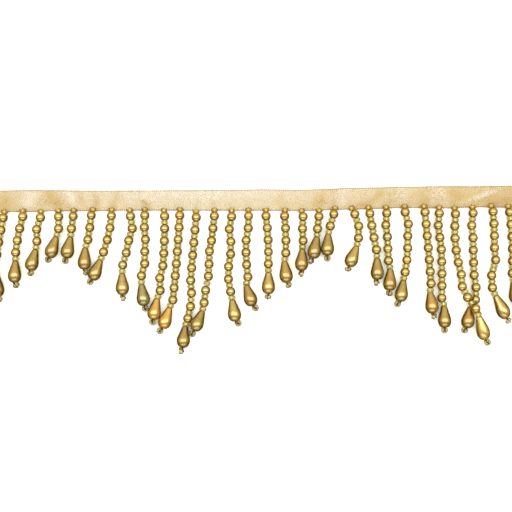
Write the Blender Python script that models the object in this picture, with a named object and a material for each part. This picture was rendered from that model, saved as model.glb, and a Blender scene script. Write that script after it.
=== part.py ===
"""A cut length of satin ribbon with a fringe of bead strands, lying flat on its back.

The fringe hangs from the ribbon's lower edge in scallops: the strands grow one round
bead longer each to a peak of nine, then shorter again. A strand is a root seed on the
ribbon's edge, round beads with a seed between each two, a drop and a stopper seed.

Frame: the origin is the middle of the ribbon's back, on the surface it lies on. +X runs
along the ribbon, +Y across it and away from the fringe, +Z up. Tables are in millimetres.
"""

import math
from collections import namedtuple

import bmesh
import bpy
from mathutils import Vector

MM = 0.001

# Ribbon
RIBBON_LENGTH = 250.0
RIBBON_WIDTH = 10.0
RIBBON_THICKNESS = 1.0
SECTION_STEP = 2.5
ROWS_ACROSS = 4

# The ribbon's lower edge, parted from the rest to carry the strands
EDGE_STRIP_WIDTH = 1.8
PARTING_GAP = 0.3
SPLITS = (-91.2, 34.1)

# How the ribbon's middle line wanders across the surface it lies on
Station = namedtuple("Station", "along across")
MIDDLE_LINE = (
    Station(-125.0, -0.4),
    Station(-100.0, 0.0),
    Station(20.0, 0.0),
    Station(44.0, 1.2),
    Station(78.0, 1.8),
    Station(125.0, 2.5),
)

# Soft ridges where the ribbon lifts off the surface; they die out before its lower edge
Ridge = namedtuple("Ridge", "along half_width rise slant")
RIDGES = (
    Ridge(-97.0, 11.0, 0.5, 0.4),
    Ridge(-54.0, 7.0, 0.6, -0.9),
    Ridge(-24.0, 9.0, 0.3, 0.3),
    Ridge(35.0, 9.0, 0.5, 0.5),
    Ridge(67.0, 6.0, 0.7, 0.6),
    Ridge(88.0, 8.0, 0.3, -0.3),
    Ridge(108.0, 7.0, 0.7, 0.9),
)
RIDGE_FADE_FROM = 0.5
RIDGE_FADE_TO = -2.6

# Beads, as radii and lengths along the thread. The neck stands for the seed between two
# round beads, evened out with the pinch on each side of it.
ROUND_RADIUS = 2.15
NECK_RADIUS = 1.35
SEED_RADIUS = 1.5
SEED_LENGTH = 2.0
ROOT_TO_FIRST_ROUND = 2.9
LAST_ROUND_TO_DROP = 4.1
ROOT_SEED_OVER_EDGE = 0.1
SIDES = 6
FACET_GROWTH = 1.05

Ring = namedtuple("Ring", "along radius")
ROUND_RINGS = (
    Ring(-1.65, NECK_RADIUS),
    Ring(-0.8, ROUND_RADIUS),
    Ring(0.8, ROUND_RADIUS),
    Ring(1.65, NECK_RADIUS),
)
DROP_RADIUS = 3.0
BELLY_START = 6.4
BELLY_END = 7.8
DROP_RINGS = (
    Ring(0.0, 1.0),
    Ring(1.5, 1.4),
    Ring(4.4, 2.4),
    Ring(BELLY_START, DROP_RADIUS),
    Ring(BELLY_END, DROP_RADIUS),
    Ring(9.3, 2.1),
    Ring(10.0, 1.0),
)
STOPPER_RINGS = (
    Ring(10.8, SEED_RADIUS),
    Ring(12.7, SEED_RADIUS),
)
LIFT_LEFT_AT_DROP = 0.66

# One row for each strand, left to right. Hang is how much lower than usual its root sits
# on the ribbon's edge. The sideways columns say how far the first, the middle and the
# last round bead lie to the right of the root, and pitch is the step between them. Neck
# is the turn to the right, in degrees, from the last round bead to the drop, and lean is
# the drop's own.
Strand = namedtuple("Strand", "root_x hang rounds first middle last pitch neck lean")
STRANDS = (
    Strand(-120.7, 0.2, 5, -0.7, -2.8, -4.6, 5.90, 14, 4),
    Strand(-112.0, -0.2, 4, 0.0, -2.1, -3.4, 5.75, 1, -3),
    Strand(-103.3, 0.4, 3, -0.2, -2.0, -1.9, 5.70, -4, -14),
    Strand(-94.9, 0.0, 2, 0.1, 0.1, 0.1, 5.80, -9, -18),
    Strand(-87.5, -0.2, 2, -0.3, -0.7, -1.1, 6.00, -6, -12),
    Strand(-78.3, -0.6, 3, -0.8, -1.5, -2.4, 5.85, -16, -4),
    Strand(-69.3, -0.4, 4, -0.1, -1.4, -3.9, 5.80, -13, -23),
    Strand(-60.7, -0.2, 5, 0.4, -0.4, -3.3, 5.85, 2, -1),
    Strand(-53.4, -0.6, 6, 0.0, 0.2, -1.6, 5.80, 3, 6),
    Strand(-44.2, -0.2, 7, 0.3, -0.1, -1.8, 5.95, -20, -12),
    Strand(-36.6, -0.6, 8, 0.0, -1.4, -3.3, 5.80, -22, -19),
    Strand(-28.8, 0.4, 9, 0.1, -2.1, -3.9, 6.05, -18, -7),
    Strand(-20.0, -0.3, 8, 0.0, -2.4, -4.9, 5.95, -10, -20),
    Strand(-11.7, 0.0, 7, 0.0, -0.5, -0.5, 6.00, 11, 8),
    Strand(-3.7, -0.3, 6, 0.1, -1.1, -0.2, 5.85, -11, 18),
    Strand(4.7, -0.3, 5, 0.1, 1.1, 1.2, 5.75, 2, -2),
    Strand(13.9, -0.3, 4, -0.2, 0.4, 0.4, 5.90, -6, 6),
    Strand(21.8, 0.0, 3, 0.8, 0.5, 0.8, 5.80, -3, -4),
    Strand(30.3, 0.4, 2, -0.1, -0.4, -0.8, 5.90, -4, -11),
    Strand(37.9, -0.2, 2, -0.5, -1.3, -2.2, 5.70, -13, -3),
    Strand(45.8, 0.0, 3, 1.6, 3.5, 3.4, 5.75, -8, -22),
    Strand(53.9, -0.2, 4, 0.8, 2.2, 3.9, 5.80, 3, 2),
    Strand(62.3, -0.1, 5, 0.5, 0.8, 1.3, 5.70, 12, -3),
    Strand(71.3, -0.4, 6, 0.3, 1.6, 0.3, 5.75, -11, -10),
    Strand(80.5, -0.3, 7, 0.6, 2.2, 3.5, 5.70, -3, 7),
    Strand(87.8, 0.3, 8, 0.2, 1.3, 1.4, 5.80, 14, 1),
    Strand(95.3, 0.8, 9, 0.5, 1.8, 10.2, 5.80, 22, 17),
    Strand(103.8, 0.5, 8, 0.4, 0.6, 1.6, 5.95, -29, -5),
    Strand(112.8, 0.0, 7, 1.0, 1.7, 0.7, 5.80, 20, 25),
    Strand(121.0, 0.4, 6, 0.8, 2.0, 2.0, 5.85, 6, 8),
)

# Where one round bead leaves its strand's smooth curve: to the right, down towards the
# strand's tip, and up off the surface. A second seed after the fifth bead of strand 28
# pushes the rest of it down. Strand 26 climbs over the end of strand 27.
Nudge = namedtuple("Nudge", "strand round_bead right down up")
NUDGES = (
    Nudge(7, 2, 1.0, 0.0, 0.0),
    Nudge(8, 2, -0.5, 0.0, 0.0),
    Nudge(8, 5, 0.6, 0.0, 0.0),
    Nudge(9, 6, -0.9, 0.0, 0.0),
    Nudge(11, 7, 0.9, 0.0, 0.0),
    Nudge(11, 8, 0.8, 0.4, 0.0),
    Nudge(12, 4, -0.3, -0.9, 0.0),
    Nudge(12, 5, 0.2, -0.7, 0.0),
    Nudge(12, 6, 0.6, -0.8, 0.0),
    Nudge(13, 2, -0.9, 0.0, 0.0),
    Nudge(13, 5, -0.9, 0.0, 0.0),
    Nudge(13, 6, -1.0, 0.0, 0.0),
    Nudge(14, 2, 0.6, 0.0, 0.0),
    Nudge(22, 2, -0.6, 0.0, 0.0),
    Nudge(23, 2, 0.7, 0.0, 0.0),
    Nudge(25, 2, -0.9, 0.0, 0.0),
    Nudge(25, 3, -0.5, 0.0, 0.0),
    Nudge(26, 6, 0.0, 0.0, 0.1),
    Nudge(26, 7, -1.5, 0.0, 0.5),
    Nudge(26, 8, -1.6, -0.7, 2.3),
    Nudge(26, 9, 0.0, -0.9, 4.2),
    Nudge(27, 2, -0.6, 0.0, 0.0),
    Nudge(27, 7, 0.6, 0.0, 0.0),
    Nudge(28, 5, 0.7, 0.0, 0.0),
    Nudge(28, 6, -0.9, 1.6, 0.0),
    Nudge(28, 7, 0.0, 1.7, 0.0),
)

FRINGES = (
    ("fringe_left", -RIBBON_LENGTH / 2, SPLITS[0], range(0, 4)),
    ("fringe_middle", SPLITS[0], SPLITS[1], range(4, 19)),
    ("fringe_right", SPLITS[1], RIBBON_LENGTH / 2, range(19, 30)),
)

SATIN = (0.80, 0.62, 0.36)
SATIN_ROUGHNESS = 0.45
GOLD = (0.62, 0.44, 0.13)
GOLD_ROUGHNESS = 0.3
SHARP_DEGREES = 65.0


def clear_scene():
    """Remove every object of the scene."""
    for thing in list(bpy.data.objects):
        bpy.data.objects.remove(thing, do_unlink=True)


def material(name, colour, roughness, metallic):
    """A plain finish with the part's colour, roughness and metallic value."""
    finish = bpy.data.materials.new(name)
    finish.use_nodes = True
    shader = finish.node_tree.nodes["Principled BSDF"]
    shader.inputs["Base Color"].default_value = (*colour, 1.0)
    shader.inputs["Roughness"].default_value = roughness
    shader.inputs["Metallic"].default_value = metallic
    return finish


def new_object(name, mesh_builder, finish):
    """Turn a finished bmesh into a named object of the scene."""
    bmesh.ops.recalc_face_normals(mesh_builder, faces=mesh_builder.faces[:])
    mesh = bpy.data.meshes.new(name)
    mesh_builder.to_mesh(mesh)
    mesh_builder.free()
    mesh.shade_smooth()
    mesh.set_sharp_from_angle(angle=math.radians(SHARP_DEGREES))
    mesh.materials.append(finish)
    thing = bpy.data.objects.new(name, mesh)
    bpy.context.scene.collection.objects.link(thing)
    return thing


def ease(share):
    """A smooth step from 0 to 1."""
    share = min(max(share, 0.0), 1.0)
    return share * share * (3.0 - 2.0 * share)


def middle_line(along):
    """How far across the surface the ribbon's middle line lies at a place along it."""
    for start, end in zip(MIDDLE_LINE, MIDDLE_LINE[1:]):
        if along <= end.along:
            share = ease((along - start.along) / (end.along - start.along))
            return start.across + share * (end.across - start.across)
    return MIDDLE_LINE[-1].across


def ridge_height(along, across):
    """Lift of the ribbon off the surface; across is measured from its middle line."""
    fade = ease((across - RIDGE_FADE_TO) / (RIDGE_FADE_FROM - RIDGE_FADE_TO))
    height = 0.0
    for ridge in RIDGES:
        offset = (along - ridge.along - ridge.slant * across) / ridge.half_width
        if abs(offset) < 1.0:
            height += ridge.rise * 0.5 * (1.0 + math.cos(math.pi * offset))
    return height * fade


def steps(start, end, step):
    """Evenly spaced places from start to end, about a step apart."""
    count = max(1, round((end - start) / step))
    return [start + (end - start) * index / count for index in range(count + 1)]


def sheet(builder, along, across):
    """A closed sheet over a grid of places along and across the ribbon."""
    layers = []
    for top in (0.0, RIBBON_THICKNESS):
        grid = []
        for x in along:
            row = []
            for y in across:
                z = ridge_height(x, y) + top
                row.append(builder.verts.new(Vector((x, y + middle_line(x), z)) * MM))
            grid.append(row)
        layers.append(grid)
    below, above = layers
    for i in range(len(along) - 1):
        for j in range(len(across) - 1):
            for grid in layers:
                builder.faces.new((grid[i][j], grid[i + 1][j], grid[i + 1][j + 1], grid[i][j + 1]))
        for j in (0, -1):
            builder.faces.new((below[i][j], below[i + 1][j], above[i + 1][j], above[i][j]))
    for i in (0, -1):
        for j in range(len(across) - 1):
            builder.faces.new((below[i][j], below[i][j + 1], above[i][j + 1], above[i][j]))


def flat_side_depth(radius):
    """Distance from a ring's middle to the flat side that it lies on."""
    return radius * FACET_GROWTH * math.cos(math.pi / SIDES)


def sideways(strand, round_bead):
    """Smooth sideways place of a round bead, through the first, middle and last."""
    share = (round_bead - 1) / (strand.rounds - 1)
    bulge = 4.0 * strand.middle - 2.0 * (strand.first + strand.last)
    straight = strand.first + share * (strand.last - strand.first)
    return straight + bulge * share * (1.0 - share)


def bead_centres(number):
    """Middles of a strand's root seed and round beads, root first.

    The root seed lies level with the round beads, so it sinks into the edge strip.
    """
    strand = STRANDS[number]
    root_y = middle_line(strand.root_x) - RIBBON_WIDTH / 2 + ROOT_SEED_OVER_EDGE - strand.hang
    level = flat_side_depth(ROUND_RADIUS)
    centres = [Vector((strand.root_x, root_y, level))]
    nudges = {nudge.round_bead: nudge for nudge in NUDGES if nudge.strand == number}
    for round_bead in range(1, strand.rounds + 1):
        x = strand.root_x + sideways(strand, round_bead)
        y = root_y - ROOT_TO_FIRST_ROUND - (round_bead - 1) * strand.pitch
        centre = Vector((x, y, level))
        if round_bead in nudges:
            nudge = nudges[round_bead]
            centre += Vector((nudge.right, -nudge.down, nudge.up))
        centres.append(centre)
    return centres


def heading(degrees):
    """A level direction, turned to the right from straight down the fringe."""
    turn = math.radians(degrees)
    return Vector((math.sin(turn), -math.cos(turn), 0.0))


def drop_axis(number, centres):
    """The point where a strand's drop begins, and the direction in which it lies."""
    strand = STRANDS[number]
    level = flat_side_depth(ROUND_RADIUS)
    apex = centres[-1] + heading(strand.neck) * LAST_ROUND_TO_DROP
    apex.z = level + (centres[-1].z - level) * LIFT_LEFT_AT_DROP
    belly_height = flat_side_depth(DROP_RADIUS)
    touch = BELLY_START if belly_height > apex.z else BELLY_END
    climb = (belly_height - apex.z) / touch
    axis = heading(strand.lean) * math.sqrt(1.0 - climb * climb)
    axis.z = climb
    return apex, axis


def strand_rings(number):
    """Every ring of a strand as its middle, its direction and its radius."""
    centres = bead_centres(number)
    apex, axis = drop_axis(number, centres)
    first_run = (centres[1] - centres[0]).normalized()
    rings = [(centres[0] - first_run * SEED_LENGTH / 2, first_run, SEED_RADIUS)]
    stops = centres + [apex]
    for before, centre, after in zip(stops, stops[1:], stops[2:]):
        run = (after - before).normalized()
        for ring in ROUND_RINGS:
            rings.append((centre + run * ring.along, run, ring.radius))
    for ring in DROP_RINGS + STOPPER_RINGS:
        rings.append((apex + axis * ring.along, axis, ring.radius))
    return rings


def strand_solid(builder, number):
    """Add one strand to a bmesh: rings with a flat side down, bridged and capped."""
    loops = []
    for centre, run, radius in strand_rings(number):
        side = run.cross(Vector((0.0, 0.0, 1.0))).normalized()
        up = side.cross(run)
        loop = []
        for corner in range(SIDES):
            angle = 2.0 * math.pi * (corner + 0.5) / SIDES + math.pi / 2
            spoke = side * math.cos(angle) + up * math.sin(angle)
            loop.append(builder.verts.new((centre + spoke * radius * FACET_GROWTH) * MM))
        loops.append(loop)
    for loop, following in zip(loops, loops[1:]):
        for corner in range(SIDES):
            beside = (corner + 1) % SIDES
            builder.faces.new((loop[corner], loop[beside], following[beside], following[corner]))
    builder.faces.new(loops[0])
    builder.faces.new(loops[-1])


def make_ribbon():
    """The ribbon, less the narrow strip at its lower edge."""
    builder = bmesh.new()
    half = RIBBON_LENGTH / 2
    low = -RIBBON_WIDTH / 2 + EDGE_STRIP_WIDTH + PARTING_GAP
    high = RIBBON_WIDTH / 2
    across = steps(low, high, (high - low) / ROWS_ACROSS)
    sheet(builder, steps(-half, half, SECTION_STEP), across)
    new_object("ribbon", builder, material("ribbon_satin", SATIN, SATIN_ROUGHNESS, 0.0))


def make_fringe(name, start, end, numbers):
    """One scallop: a length of the edge strip with its strands fused on at the roots."""
    half = RIBBON_LENGTH / 2
    low = start + PARTING_GAP / 2 if start > -half else start
    high = end - PARTING_GAP / 2 if end < half else end
    edge = -RIBBON_WIDTH / 2
    strip_builder = bmesh.new()
    sheet(strip_builder, steps(low, high, 2 * SECTION_STEP), (edge, edge + EDGE_STRIP_WIDTH))
    finish = material(name + "_gold", GOLD, GOLD_ROUGHNESS, 1.0)
    strip = new_object(name, strip_builder, finish)
    strands_builder = bmesh.new()
    for number in numbers:
        strand_solid(strands_builder, number)
    strands = new_object(name + "_strands", strands_builder, finish)
    strands.hide_render = True
    strands.display_type = "WIRE"
    fuse = strip.modifiers.new("fuse roots", "BOOLEAN")
    fuse.operation = "UNION"
    fuse.solver = "EXACT"
    fuse.object = strands


def main():
    """Build the whole part."""
    clear_scene()
    make_ribbon()
    for name, start, end, numbers in FRINGES:
        make_fringe(name, start, end, numbers)


main()
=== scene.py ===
"""Looks of a satin ribbon edged with a fringe of bead strands, lying flat on its back.

Frame: the origin is the middle of the ribbon's back, +X runs along the ribbon, +Y across
it and away from the fringe, +Z up. Tables are in millimetres, as in the part's source.
"""

import math
import random
from collections import namedtuple

import bpy
import numpy as np
from mathutils import Matrix, Vector


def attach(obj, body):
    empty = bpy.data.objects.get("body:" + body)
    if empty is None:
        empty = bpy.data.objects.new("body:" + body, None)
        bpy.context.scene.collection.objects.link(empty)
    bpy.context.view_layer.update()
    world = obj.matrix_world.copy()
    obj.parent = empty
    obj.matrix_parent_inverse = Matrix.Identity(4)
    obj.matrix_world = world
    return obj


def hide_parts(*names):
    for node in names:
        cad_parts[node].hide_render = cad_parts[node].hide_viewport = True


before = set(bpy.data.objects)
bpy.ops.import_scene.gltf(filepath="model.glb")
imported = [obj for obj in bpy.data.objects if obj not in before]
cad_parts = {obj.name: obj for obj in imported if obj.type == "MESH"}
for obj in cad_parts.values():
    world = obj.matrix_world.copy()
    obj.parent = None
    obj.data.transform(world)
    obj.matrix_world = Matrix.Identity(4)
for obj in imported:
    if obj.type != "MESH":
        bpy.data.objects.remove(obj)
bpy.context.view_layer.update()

MM = 0.001
BODY = "root"
UP = Vector((0.0, 0.0, 1.0))
RANDOM_START = 11

# The photograph's frame: millimetres to a pixel, its middle and the ribbon's middle line
MM_PER_PIXEL = 0.48
PHOTO_MIDDLE = 256.0
RIBBON_MIDDLE_ROW = 200.3
FRAME_WIDTH = 512.0 * MM_PER_PIXEL
LENS = 85.0
SENSOR = 36.0

# Ribbon
RIBBON_LENGTH = 250.0
RIBBON_WIDTH = 10.0
RIBBON_THICKNESS = 0.35
RIBBON_STEP = 0.5
RIBBON_ROWS = 24
EDGE_REST_HEIGHT = 0.12
SELVEDGE_WIDTH = 0.4
SELVEDGE_RISE = 0.05

# Weft turns along the ribbon's two edges: short flattened lumps of yarn with rounded ends
WEFT_PITCH = 1.02
WEFT_LENGTH = 0.40
WEFT_LENGTH_FROM = 0.8
WEFT_LENGTH_TO = 1.15
WEFT_RADIUS = 0.36
WEFT_FLATNESS = 0.5
WEFT_SINK = 0.03
WEFT_INSET = 0.32
WEFT_RINGS = 5
WEFT_SIDES = 6
WEFT_END_SHARE = 0.12

Station = namedtuple("Station", "along across")
MIDDLE_LINE = (
    Station(-125.0, -0.4),
    Station(-100.0, 0.0),
    Station(20.0, 0.0),
    Station(44.0, 1.2),
    Station(78.0, 1.8),
    Station(125.0, 2.5),
)

# Where the ribbon's two edges lie, a little wavy
EdgePlace = namedtuple("EdgePlace", "along upper lower")
EDGES = (
    EdgePlace(-125.0, 4.9, -5.7),
    EdgePlace(-107.5, 5.1, -5.6),
    EdgePlace(-98.9, 5.0, -5.2),
    EdgePlace(-74.9, 4.85, -5.2),
    EdgePlace(-62.9, 4.9, -4.9),
    EdgePlace(-31.7, 5.05, -4.9),
    EdgePlace(-12.5, 5.2, -4.95),
    EdgePlace(4.3, 5.5, -5.0),
    EdgePlace(21.1, 5.25, -5.1),
    EdgePlace(33.6, 5.6, -4.7),
    EdgePlace(45.1, 6.2, -4.4),
    EdgePlace(59.5, 6.4, -4.05),
    EdgePlace(69.1, 6.7, -3.7),
    EdgePlace(93.0, 7.0, -3.8),
    EdgePlace(105.0, 6.95, -3.3),
    EdgePlace(125.0, 7.25, -3.5),
)

# Painted sheen and shade: how pale the satin is painted from place to place: 0 is deep tan, 1
# nearly white
PaintedSheenPlace = namedtuple("PaintedSheenPlace", "along level")
PAINTED_SHEEN = (
    PaintedSheenPlace(-125.0, 0.50),
    PaintedSheenPlace(-70.0, 0.66),
    PaintedSheenPlace(-45.0, 0.80),
    PaintedSheenPlace(-5.0, 0.76),
    PaintedSheenPlace(40.0, 0.60),
    PaintedSheenPlace(75.0, 0.50),
    PaintedSheenPlace(100.0, 0.38),
    PaintedSheenPlace(125.0, 0.24),
)
# Painted sheen: the satin is painted paler toward its upper edge
PAINTED_SHEEN_RISE_ACROSS = 0.022
# Patches of painted sheen where the change is above 0, and of painted shade where it is below
PAINTED_PATCH_STRENGTH = 1.4
PaintedPatch = namedtuple("PaintedPatch", "along across half_width reach slant change")
PAINTED_SHEEN_PATCHES = (
    PaintedPatch(-121.5, 0.0, 7.0, 9.0, 0.0, -0.16),
    PaintedPatch(-109.4, 0.0, 6.6, 9.0, 0.2, 0.26),
    PaintedPatch(-98.6, 2.4, 6.6, 6.0, -0.3, -0.28),
    PaintedPatch(-95.0, -2.6, 6.2, 5.0, -0.6, -0.13),
    PaintedPatch(-102.4, -4.2, 3.0, 3.0, 0.0, 0.12),
    PaintedPatch(-88.6, 0.5, 3.6, 7.0, -0.4, 0.22),
    PaintedPatch(-84.6, 2.0, 3.0, 5.0, 0.0, -0.14),
    PaintedPatch(-77.0, 0.0, 2.2, 9.0, -0.2, -0.22),
    PaintedPatch(-72.5, -1.0, 2.4, 6.0, 0.2, 0.12),
    PaintedPatch(-67.6, 0.5, 2.0, 8.0, 0.2, -0.18),
    PaintedPatch(-61.0, 0.0, 4.0, 9.0, 0.0, 0.10),
    PaintedPatch(-52.4, -2.0, 2.6, 3.6, -1.0, -0.26),
    PaintedPatch(-22.0, 1.0, 6.0, 7.0, 0.4, 0.05),
    PaintedPatch(11.5, 0.0, 4.5, 8.0, 0.0, -0.10),
    PaintedPatch(32.6, 2.0, 6.4, 6.6, 0.6, -0.15),
    PaintedPatch(29.6, -2.0, 5.2, 6.0, 0.2, -0.15),
    PaintedPatch(42.0, 0.0, 5.0, 9.0, 0.3, 0.14),
    PaintedPatch(51.0, -3.2, 5.0, 3.0, 1.4, -0.26),
    PaintedPatch(58.6, 1.0, 3.8, 6.0, 0.6, -0.20),
    PaintedPatch(70.6, 1.0, 4.6, 8.0, 0.2, 0.16),
    PaintedPatch(80.5, 0.0, 4.0, 8.0, 0.0, -0.14),
    PaintedPatch(89.0, 0.0, 7.5, 8.0, -0.3, 0.16),
    PaintedPatch(96.0, 1.5, 6.0, 6.0, 0.0, -0.14),
    PaintedPatch(109.4, 0.6, 6.0, 5.8, 2.2, 0.38),
    PaintedPatch(115.5, -3.0, 6.0, 4.5, 1.6, -0.14),
)

# Soft ridges that the solid has too; they die out before the ribbon's lower edge
Ridge = namedtuple("Ridge", "along half_width rise slant")
RIDGES = (
    Ridge(-97.0, 11.0, 0.5, 0.4),
    Ridge(-54.0, 7.0, 0.6, -0.9),
    Ridge(-24.0, 9.0, 0.3, 0.3),
    Ridge(35.0, 9.0, 0.5, 0.5),
    Ridge(67.0, 6.0, 0.7, 0.6),
    Ridge(88.0, 8.0, 0.3, -0.3),
    Ridge(108.0, 7.0, 0.7, 0.9),
)
RIDGE_FADE_FROM = 0.5
RIDGE_FADE_TO = -2.6

# Faint ripples all over the satin
Ripple = namedtuple("Ripple", "rise length skew start")
RIPPLES = (
    Ripple(0.030, 3.1, 0.35, 0.0),
    Ripple(0.020, 1.7, -0.5, 1.0),
)

# Sharp little creases in the satin, which die out toward its lower edge
CREASE_FADE_FROM = -4.4
CREASE_FADE_WIDTH = 1.5
CREASES = (
    Ridge(-54.2, 0.6, 0.09, -0.5),
    Ridge(-51.6, 0.6, 0.08, -1.6),
    Ridge(67.7, 0.7, 0.13, 0.56),
    Ridge(109.0, 4.5, 0.10, 2.2),
    Ridge(-94.0, 1.8, 0.03, -1.4),
    Ridge(28.0, 0.8, 0.08, 0.1),
)

# Beads: their sizes, and how many sides each kind is turned with
ROUND_RADIUS = 2.27
ROUND_HALF_LENGTH = 2.05
DROP_LENGTH = 10.3
DROP_NECK_LENGTH = 4.0
BELLY_FROM_END = 3.1
SEED_HALF_LENGTH = 0.94
SEED_OUTER = 1.74
ROOT_SEED_SCALE = 0.98
STOPPER_SCALE = 0.97
SIZE_SPREAD = 0.012
ROUND_SIDES = 24
DROP_SIDES = 32
SEED_SIDES = 18

# How a strand is threaded. Seeds dip a little into the holes of the beads beside them, a drop
# keeps part of the lift of the round bead above it, and a stopper's middle stays at least
# its reach from the middle of the drop's belly
ROOT_SEED_HEIGHT = 2.35
ROOT_SEED_OVER_EDGE = 0.1
ROOT_TO_FIRST_ROUND = 2.9
LAST_ROUND_TO_DROP = 4.1
LIFT_LEFT_AT_DROP = 0.66
SEED_DIP = 0.19
STRAND_END = 10.0
STOPPER_REACH = 4.7
STOPPER_CLEARANCE = 0.1

# Thread, down the strand from where it bends up out of the ribbon
THREAD_RADIUS = 0.16
THREAD_BEND = 1.15
THREAD_DEPTH = 2.0
THREAD_INSIDE_DROP = 1.5

# Thread below a drop: out of its mouth, a dark knot that is painted shade for the drop's
# shadowed mouth, through the stopper's hole, round its rim and back
LOOPED_THREAD_RADIUS = 0.24
LOOPED_THREAD_STEPS = 4
LOOP_START = 1.0
LOOP_MOUTH = 0.1
PAINTED_SHADE_KNOT_RADIUS = 0.34
PAINTED_SHADE_KNOT_STEPS = 6
PAINTED_SHADE_KNOT_TURN = 120.0
PAINTED_SHADE_KNOT_LIFT = 0.3
PAINTED_SHADE_KNOT_RISE = 0.1
HOLE_ABOVE = 1.35
HOLE_BELOW = 1.2
RIM_BELOW = 0.9
RIM_OUT = 1.9
RETURN_BELOW = 0.2

# How far beads lean off their thread at random, in degrees
ROOT_WOBBLE = 3.0
ROUND_WOBBLE = 4.0
SEED_WOBBLE = 3.5
STOPPER_WOBBLE = 4.0

# How much a bead's tone may differ from the one asked, as a share of it, and how much of
# that its warmth may
WARMTH_SHARE = 0.4
ROOT_TONE_SPREAD = 0.06
ROUND_TONE_SPREAD = 0.07
DROP_TONE_SPREAD = 0.04
SEED_TONE_SPREAD = 0.05
STOPPER_TONE_SPREAD = 0.04

# Tones of the metallic finish, as reflected colours
TONES = {
    "round": (0.365, 0.234, 0.028),
    "rich": (0.43, 0.230, 0.014),
    "silvery": (0.33, 0.250, 0.070),
    "gold": (0.252, 0.156, 0.007),
    "olive": (0.262, 0.182, 0.014),
    "grey": (0.19, 0.146, 0.030),
    "copper": (0.43, 0.240, 0.022),
    "bronze": (0.275, 0.152, 0.006),
    "amber": (0.315, 0.162, 0.003),
    "bright": (0.322, 0.212, 0.034),
    # A brighter orange gold, painted lighter as painted highlight for strand 26's lifted drop
    "painted_gleam": (0.47, 0.310, 0.055),
}

# Tones of the seed beads' glass: between beads, at the roots and below the drops
SEED_YELLOW = (0.48, 0.375, 0.09)
SEED_AMBER = (0.49, 0.295, 0.012)
SEED_PALE = (0.43, 0.34, 0.18)

# One row for each strand. Hang is how far below the ribbon's edge its root seed sits. First,
# middle and last say how far those round beads lie to the right of the root, and pitch is
# the step between round beads. Neck is the turn to the right, in degrees, from the last
# round bead to the drop, and lean the drop's own. Start is the height where the drop begins
Strand = namedtuple("Strand", "root_x hang rounds first middle last pitch neck lean tone start")
STRANDS = (
    Strand(-120.7, 0.2, 5, -0.7, -2.8, -4.6, 5.90, 14, 4, "gold", 2.7),
    Strand(-112.0, -0.2, 4, 0.0, -2.1, -3.4, 5.75, 1, -3, "gold", 2.8),
    Strand(-103.3, 0.4, 3, -0.2, -2.0, -1.9, 5.70, -6, -15, "gold", 2.7),
    Strand(-94.9, 0.0, 2, 0.1, 0.1, 0.1, 5.80, -14, -18, "gold", 2.8),
    Strand(-87.5, -0.2, 2, -0.3, -0.7, -1.1, 6.00, -6, -11, "gold", 2.3),
    Strand(-78.3, -0.6, 3, -0.8, -1.5, -2.4, 5.85, -17, -3, "bronze", 2.8),
    Strand(-69.3, -0.4, 4, -0.1, -1.4, -3.9, 5.80, -20, -23, "gold", 2.7),
    Strand(-60.7, -0.2, 5, 0.4, -0.4, -3.3, 5.85, -4, 2, "bright", 2.6),
    Strand(-53.4, -0.6, 6, 0.0, 0.2, -1.6, 5.80, 0, 8, "grey", 2.8),
    Strand(-44.2, -0.2, 7, 0.3, -0.1, -1.8, 5.95, -20, -12, "copper", 2.4),
    Strand(-36.6, -0.6, 8, 0.0, -1.4, -3.3, 5.80, -22, -19, "copper", 2.4),
    Strand(-28.8, 0.4, 9, 0.1, -2.1, -3.9, 6.05, -18, -7, "gold", 1.7),
    Strand(-20.0, -0.3, 8, 0.0, -2.4, -4.9, 5.95, -11, -23, "olive", 1.6),
    Strand(-11.7, 0.0, 7, 0.0, -0.5, -0.5, 6.00, 11, 9, "bright", 2.8),
    Strand(-3.7, -0.3, 6, 0.1, -1.1, -0.2, 5.85, -12, 18, "bronze", 2.3),
    Strand(4.7, -0.3, 5, 0.1, 1.1, 1.2, 5.75, 1, 0, "bright", 2.8),
    Strand(13.9, -0.3, 4, -0.2, 0.4, 0.4, 5.90, -10, 7, "bronze", 2.8),
    Strand(21.8, 0.0, 3, 0.8, 0.5, 0.8, 5.80, -5, -3, "bronze", 2.8),
    Strand(30.3, 0.4, 2, -0.1, -0.4, -0.8, 5.90, -4, -11, "gold", 2.7),
    Strand(37.9, -0.2, 2, -0.5, -1.3, -2.2, 5.70, -15, -3, "gold", 2.7),
    Strand(45.8, 0.0, 3, 1.6, 3.5, 3.4, 5.75, -12, -22, "bright", 2.8),
    Strand(53.9, -0.2, 4, 0.8, 2.2, 3.9, 5.80, 3, 1, "gold", 2.8),
    Strand(62.3, -0.1, 5, 0.5, 0.8, 1.3, 5.70, 12, -3, "bronze", 2.7),
    Strand(71.3, -0.4, 6, 0.3, 1.6, 0.3, 5.75, -11, -10, "olive", 2.1),
    Strand(80.5, -0.3, 7, 0.6, 2.2, 3.5, 5.70, -7, 7, "amber", 2.3),
    Strand(87.8, 0.3, 8, 0.2, 1.3, 1.4, 5.80, 15, 1, "gold", 2.5),
    # Painted highlight: this drop's tone is painted brighter
    Strand(95.3, 0.8, 9, 0.5, 1.8, 10.2, 5.80, 24, 18, "painted_gleam", 2.2),
    Strand(103.8, 0.5, 8, 0.4, 0.6, 1.6, 5.95, -34, -13, "amber", 2.1),
    Strand(112.8, 0.0, 7, 1.0, 1.7, 0.7, 5.80, 20, 26, "bright", 2.7),
    Strand(121.0, 0.4, 6, 0.8, 2.0, 2.0, 5.85, 6, 8, "bronze", 2.7),
)

# How much longer than the rest some drops are
DROP_STRETCH = {26: 1.15, 28: 1.15}

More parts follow.
